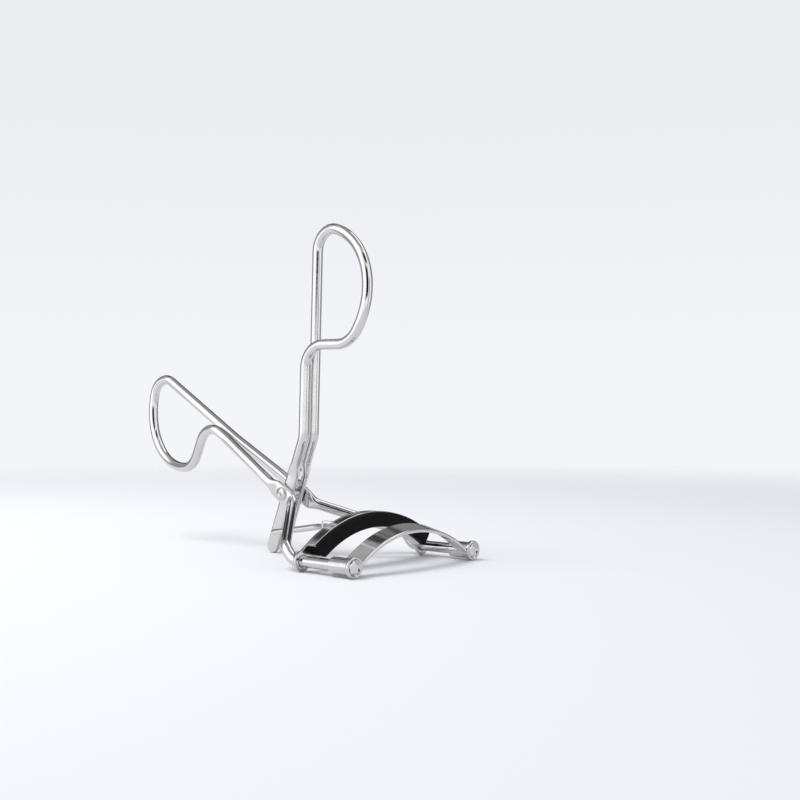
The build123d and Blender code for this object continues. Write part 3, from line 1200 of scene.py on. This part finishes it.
@dataclass
class SlidingJaw:
    """The sliding jaw: a back plate with guide eyes, channel walls and the link's ears."""

    datum: Datum
    arch_r: float = 28.0
    apex_z: float = 9.7
    height: float = 3.5
    wall: float = 0.55
    depth: float = 2.1
    plate: float = 0.7
    half_angle: float = 36.3
    bore: float = 1.25
    bevel: float = 0.14
    ear_x: float = 9.65
    ear_thick: float = 0.7
    ear_z: float = 8.0
    ear_height: float = 3.6
    ear_reach: float = 1.4
    slot_height: float = 2.5
    slot_half: float = 0.82
    slot_round: float = 0.81
    ear_round: float = 0.65
    ear_bevel: float = 0.1
    wall_edge: float = 0.12
    wall_end: float = 0.1
    wall_overlap: float = 0.05
    ear_overlap: float = 0.1

    def web_y(self) -> float:
        """Give the front face of the back plate."""
        return self.datum.jaw_front_y + self.depth

    def back_plate(self) -> MeshData:
        """Build the arched plate that ends in two guide eyes.

        Returns:
            Points and faces of the plate.
        """
        d = self.datum
        low = self.apex_z - self.arch_r
        reach = hypot(d.post_x, d.post_z - low)
        aim = atan2(d.post_x, d.post_z - low)
        eye = d.jaw_eye_r

        def meets(radius: float) -> float:
            """Give the arch angle where an arc of that radius runs into the eye."""
            return aim - acos((reach ** 2 + radius ** 2 - eye ** 2) / (2 * reach * radius))

        outer = self.arch_r + self.height / 2
        inner = self.arch_r - self.height / 2
        outline: Outline = []
        steps = 40
        for i in range(steps + 1):
            a = meets(outer) * (2 * i / steps - 1)
            outline.append((outer * sin(a), low + outer * cos(a)))
        outline += self.eye_arc(low, outer, meets(outer), inner, meets(inner))
        for i in range(steps + 1):
            a = meets(inner) * (1 - 2 * i / steps)
            outline.append((inner * sin(a), low + inner * cos(a)))
        outline += [(-x, z) for x, z in reversed(self.eye_arc(low, outer, meets(outer), inner,
                                                              meets(inner)))]
        holes = [circle(side.value * d.post_x, d.post_z, self.bore) for side in Side]
        middle = self.web_y() + self.plate / 2
        return cut_plate(outline, holes, self.plate, self.bevel,
                         lambda x, z, h: Vector((x, middle + h, z)))

    def eye_arc(self, low: float, outer: float, a_out: float, inner: float, a_in: float) -> Outline:
        """Give the points round the right eye between the arch's two edges.

        Args:
            low: Height of the arch's centre.
            outer: Radius of its outer edge.
            a_out: Arch angle where the outer edge meets the eye.
            inner: Radius of its inner edge.
            a_in: Arch angle where the inner edge meets the eye.

        Returns:
            The points, from the outer edge to the inner.
        """
        d = self.datum
        ends = []
        for radius, a in ((outer, a_out), (inner, a_in)):
            dx = radius * sin(a) - d.post_x
            dz = low + radius * cos(a) - d.post_z
            ends.append(atan2(dx, dz))
        start, stop = ends
        if stop < start:
            stop += 2 * pi
        steps = 36
        turn = [start + (stop - start) * i / steps for i in range(1, steps)]
        return [(d.post_x + d.jaw_eye_r * sin(a), d.post_z + d.jaw_eye_r * cos(a)) for a in turn]

    def channel(self) -> MeshData:
        """Build the two walls that hold the pad.

        Returns:
            Points and faces of the channel.
        """
        front = self.datum.jaw_front_y
        back = self.web_y() + self.wall_overlap
        bend = Turn((0.0, self.apex_z - self.arch_r), -radians(self.half_angle),
                    radians(self.half_angle), steps=64)
        parts = []
        for low in (self.arch_r - self.height / 2, self.arch_r + self.height / 2 - self.wall):
            wall = box_outline((front, low), (back, low + self.wall), self.wall_edge)
            parts.append(bend.skin(wall, self.wall_end))
        return join(*parts)

    def ear(self, side: Side) -> MeshData:
        """Build an ear with the upright slot that the link's hook runs in.

        Args:
            side: The side that the ear is on.

        Returns:
            Points and faces of the ear.
        """
        d = self.datum
        low = (self.web_y() + self.ear_overlap, self.ear_z - self.ear_height / 2)
        high = (d.hook_y + self.ear_reach, self.ear_z + self.ear_height / 2)
        outline = box_outline(low, high, self.ear_round)
        slot = box_outline(
            (d.hook_y - self.slot_half, self.ear_z - self.slot_height / 2),
            (d.hook_y + self.slot_half, self.ear_z + self.slot_height / 2), self.slot_round,
        )
        middle = side.value * (self.ear_x + self.ear_thick / 2)
        return cut_plate(outline, [slot], self.ear_thick, self.ear_bevel,
                         lambda y, z, h: Vector((middle + h, y, z)))

    def build(self, finishes: Finishes) -> None:
        """Build the jaw's pieces.

        Args:
            finishes: The finishes by slot.
        """
        finish = finishes.of(Slot.SHEET)
        add_piece("jaw_back_plate", self.back_plate(), Body.SLIDING_JAW, Slot.SHEET, finish,
                  ["moving_jaw"], flats=True)
        add_piece("jaw_channel_walls", self.channel(), Body.SLIDING_JAW, Slot.SHEET, finish,
                  flats=True)
        for side in Side:
            add_piece(f"link_ear_{side.name.lower()}", self.ear(side), Body.SLIDING_JAW, Slot.SHEET,
                      finish, flats=True)


@dataclass
class LashPad:
    """The rubber pad: a foot held in the channel and a crowned head in front of its walls."""

    jaw: SlidingJaw
    head_height: float = 3.24
    proud: float = 1.52
    crown: float = 0.16
    half_angle: float = 36.1
    foot_gap: float = 0.02
    wall_gap: float = 0.03
    flat_share: float = 0.3
    edges: tuple = (0.5, 1.2, 1.2, 0.5, 0.12, 0.05, 0.05, 0.05, 0.05, 0.12)
    end_edge: float = 0.03

    def profile(self) -> Outline:
        """Give the section of the pad along the channel.

        Returns:
            The closed section.
        """
        r = self.jaw.arch_r
        front = self.jaw.datum.jaw_front_y
        head = self.head_height / 2
        foot = self.jaw.height / 2 - self.jaw.wall - self.foot_gap
        face = front - self.proud
        neck = front - self.wall_gap
        heel = self.jaw.web_y() - self.foot_gap
        flat = head * self.flat_share
        corners = [
            (face + self.crown, r - head), (face, r - flat), (face, r + flat),
            (face + self.crown, r + head), (neck, r + head), (neck, r + foot), (heel, r + foot),
            (heel, r - foot), (neck, r - foot), (neck, r - head),
        ]
        return round_outline(corners, self.edges)

    def build(self, finishes: Finishes) -> None:
        """Build the pad.

        Args:
            finishes: The finishes by slot.
        """
        bend = Turn((0.0, self.jaw.apex_z - self.jaw.arch_r), -radians(self.half_angle),
                    radians(self.half_angle), steps=96)
        add_piece("rubber_lash_pad", bend.skin(self.profile(), self.end_edge), Body.SLIDING_JAW,
                  Slot.RUBBER, finishes.of(Slot.RUBBER), ["lash_pad"], flats=True)


@dataclass
class HingePin:
    """The rivet through the four eyes, and the spacer between the lever's eyes."""

    datum: Datum
    shank_r: float = 0.85
    head_r: float = 1.55
    head_h: float = 0.75
    rim_h: float = 0.22
    dimple_r: float = 0.5
    dimple_depth: float = 0.16
    rim_edge: tuple = (0.05, 0.06)  # along the rivet and across it
    dimple_step: tuple = (0.7, 0.6)
    dimple_end_r: float = 0.02
    core_r: float = 0.004

    def build(self, finishes: Finishes) -> None:
        """Build the rivet as one turned piece and dress the spacer.

        Args:
            finishes: The finishes by slot.
        """
        reach = self.datum.rivet_reach
        seat = reach - self.head_h
        along, across = self.rim_edge
        half = [(0.0, self.shank_r), (seat, self.shank_r), (seat, self.head_r - across),
                (seat + along, self.head_r), (seat + self.rim_h, self.head_r)]
        dome = 10
        for i in range(1, dome + 1):
            a = (pi / 2) * i / dome
            r = self.dimple_r + (self.head_r - self.dimple_r) * cos(a)
            half.append((seat + self.rim_h + (self.head_h - self.rim_h) * sin(a), r))
        fall, share = self.dimple_step
        floor = reach - self.dimple_depth
        half += [(reach - self.dimple_depth * fall, self.dimple_r * share),
                 (floor, self.dimple_end_r)]
        profile = [*half, *((-x, r) for x, r in reversed(half[1:]))]
        profile += [(-floor, self.core_r), (floor, self.core_r)]
        pivot = self.datum.pivot
        data = Turn((pivot.y, pivot.z), along_x=True, steps=56).skin(profile)
        add_piece("hinge_rivet", data, Body.FRAME, Slot.RIVET, finishes.of(Slot.RIVET),
                  ["pivot_rivet"], flats=True)
        for holder in frame["nodes"]["pivot_spacer"].material_slots:
            holder.material = finishes.of(Slot.RIVET)
        log.info("pivot_spacer: CAD node dressed")


# ---- studio ------------------------------------------------------------------------------------


@dataclass(frozen=True)
class Card:
    """A light or dark card round the set, by its direction in degrees.

    Azimuth 0 is towards +Y and 90 towards +X.
    """

    azimuth: float
    elevation: float
    half_width: float
    half_height: float
    soft: float
    level: float


@dataclass
class Studio:
    """Pale floor, soft light, the cards that the chrome reflects, and the camera."""

    datum: Datum
    floor_colour: Colour = (0.905, 0.912, 0.945)
    # floor as reflections see it: a darker tone that is painted shade
    floor_painted_shade_in_reflections: Colour = (0.74, 0.74, 0.76)
    horizon: Colour = (0.905, 0.915, 0.955)
    sky: Colour = (0.835, 0.845, 0.885)
    floor_roughness: float = 0.95
    floor_r: float = 600.0
    floor_fade: float = 0.9
    fade_from: float = 160.0
    sky_rise: float = 0.3
    soft_light: float = 0.62
    soft_tint: Colour = (0.96, 0.965, 1.0)
    mirrored_tint: Colour = (0.995, 0.995, 1.0)
    lamp_place: tuple = (-220.0, 160.0, 520.0)
    lamp_size: float = 320.0
    lamp_power: float = 1.9
    card_base: float = 1.06
    cards: tuple = (
        Card(48, 22, 80, 44, 8, 0.36),
        Card(0, 84, 180, 20, 4, 0.34),
        Card(345, 4, 30, 26, 4, 0.32),
        Card(108, 10, 26, 22, 4, 0.32),
        Card(47, 28, 35, 21, 4, 0.04),
        Card(49, 24, 7, 12, 2, 0.27),
        Card(46, 40, 4, 7, 1.5, 0.24),
        Card(34, 54, 34, 3, 1, 0.015),
        Card(100, 60, 34, 12, 4, 1.35),
        Card(295, 28, 29, 34, 4, 1.30),
        Card(204, 54, 36, 8, 2, 0.02),
        Card(224, 22, 24, 19, 3, 0.015),
        Card(178, 2, 6, 24, 2, 0.12),
    )
    camera_place: tuple = (-172.56, -149.18, 31.8)
    camera_azimuth: float = 48.18
    camera_elevation: float = 0.97
    focal: float = 48.6
    near_clip: float = 10.0

    def floor(self) -> None:
        """Lay a round floor that fades into the backdrop; reflections see it darker, which is
        painted shade.
        """
        sides = 96
        points = [Vector((0, 0, 0))]
        points += [Vector((x, y, 0)) for x, y in circle(0, 0, self.floor_r, sides)]
        faces = [(0, i + 1, (i + 1) % sides + 1) for i in range(sides)]
        mesh = bpy.data.meshes.new("floor")
        mesh.from_pydata([p * MM for p in points], [], faces)
        floor = bpy.data.objects.new("floor", mesh)
        bpy.context.scene.collection.objects.link(floor)
        material, plan, shader = new_material("pale_floor")
        # reflections get the darker floor tone: painted shade
        mirrored = plan.add("LightPath").outputs["Is Glossy Ray"]
        floor_tone_with_painted_shade = mix_colour(plan, mirrored, self.floor_colour, self.floor_painted_shade_in_reflections)
        plan.feed(shader.inputs["Base Color"], floor_tone_with_painted_shade)
        shader.inputs["Roughness"].default_value = self.floor_roughness
        shader.inputs["Specular IOR Level"].default_value = 0.0
        place = plan.add("NewGeometry").outputs["Position"]
        away = plan.add("VectorMath", {0: place}, operation="LENGTH").outputs["Value"]
        gone = self.floor_r * self.floor_fade
        alpha = plan.remap(away, self.fade_from * MM, gone * MM, 1.0, 0.0)
        plan.feed(shader.inputs["Alpha"], alpha)
        mesh.materials.append(material)

    def world(self) -> None:
        """Hang the backdrop, the soft light and the cards that only reflections see."""
        world = bpy.data.worlds.new("studio")
        bpy.context.scene.world = world
        world.use_nodes = True
        plan = NodePlan(world.node_tree)
        out = world.node_tree.nodes["World Output"]
        way = plan.add("TexCoord").outputs["Generated"]
        height = plan.add("SeparateXYZ", {"Vector": way}).outputs["Z"]
        level: object = self.card_base
        for card in self.cards:
            mask = plan.group("studio_card", Direction=way, Azimuth=radians(card.azimuth),
                              Elevation=radians(card.elevation), Soft=radians(card.soft))
            mask.inputs["Half Width"].default_value = radians(card.half_width)
            mask.inputs["Half Height"].default_value = radians(card.half_height)
            mix = plan.add("Mix", data_type="FLOAT")
            plan.feed(mix.inputs["Factor"], mask.outputs["Mask"])
            plan.feed(mix.inputs[2], level)
            plan.feed(mix.inputs[3], card.level)
            level = mix.outputs[0]
        backdrop = mix_colour(plan, plan.remap(height, 0.0, self.sky_rise), self.horizon, self.sky)
        shaders = [
            plan.add("Background", {"Color": (*self.soft_tint, 1.0), "Strength": self.soft_light}),
            plan.add("Background", {"Color": (*self.mirrored_tint, 1.0), "Strength": level}),
            plan.add("Background", {"Color": backdrop, "Strength": 1.0}),
        ]
        rays = plan.add("LightPath").outputs
        glossy = plan.add("MixShader", {0: rays["Is Glossy Ray"], 1: shaders[0].outputs[0],
                                        2: shaders[1].outputs[0]})
        seen = plan.add("MixShader", {0: rays["Is Camera Ray"], 1: glossy.outputs[0],
                                      2: shaders[2].outputs[0]})
        plan.feed(out.inputs["Surface"], seen.outputs[0])

    def lamp(self, name: str, place: Vector, size: float, power: float) -> None:
        """Hang a soft square lamp that points at the middle of the set.

        Args:
            name: Name of the lamp.
            place: Where it hangs, in millimetres.
            size: Length of its side.
            power: Its power in watts.
        """
        light = bpy.data.lights.new(name, "AREA")
        light.size = size * MM
        light.energy = power
        lamp = bpy.data.objects.new(name, light)
        lamp.location = place * MM
        lamp.rotation_euler = (-place).to_track_quat("-Z", "Y").to_euler()
        lamp.visible_glossy = False
        bpy.context.scene.collection.objects.link(lamp)

    def camera(self) -> None:
        """Place the camera in front and to the left, level with the jaws."""
        lens = bpy.data.cameras.new("camera")
        lens.lens = self.focal
        lens.clip_start = self.near_clip * MM
        camera = bpy.data.objects.new("camera", lens)
        x, y, z = self.camera_place
        camera.location = Vector((x, y + self.datum.front_y, z)) * MM
        a = radians(self.camera_azimuth)
        look = Vector((sin(a), cos(a), tan(radians(self.camera_elevation))))
        camera.rotation_euler = look.to_track_quat("-Z", "Y").to_euler()
        bpy.context.scene.collection.objects.link(camera)
        bpy.context.scene.camera = camera

    def build(self) -> None:
        """Set up everything round the curler."""
        bpy.context.scene.view_settings.view_transform = "Standard"
        self.floor()
        self.world()
        self.lamp("key_lamp", Vector(self.lamp_place), self.lamp_size, self.lamp_power)
        self.camera()
        log.info("studio set")


def main() -> None:
    """Build the studio and every piece of the curler."""
    logging.basicConfig(level=logging.INFO, format="%(message)s")
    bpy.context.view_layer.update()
    datum = Datum.from_frame()
    finishes = Finishes()
    finishes.build()
    Studio(datum).build()
    loop = FingerLoop()
    jaw = SlidingJaw(datum)
    assemblies = [
        FrameWire(datum, loop), LeverWire(datum, loop), LinkBail(datum), FixedJaw(datum),
        *(GuideCollar(datum, side) for side in Side), jaw, LashPad(jaw), HingePin(datum),
    ]
    for assembly in assemblies:
        assembly.build(finishes)
        log.info("built %s", type(assembly).__name__)


if __name__ == "__main__":
    main()
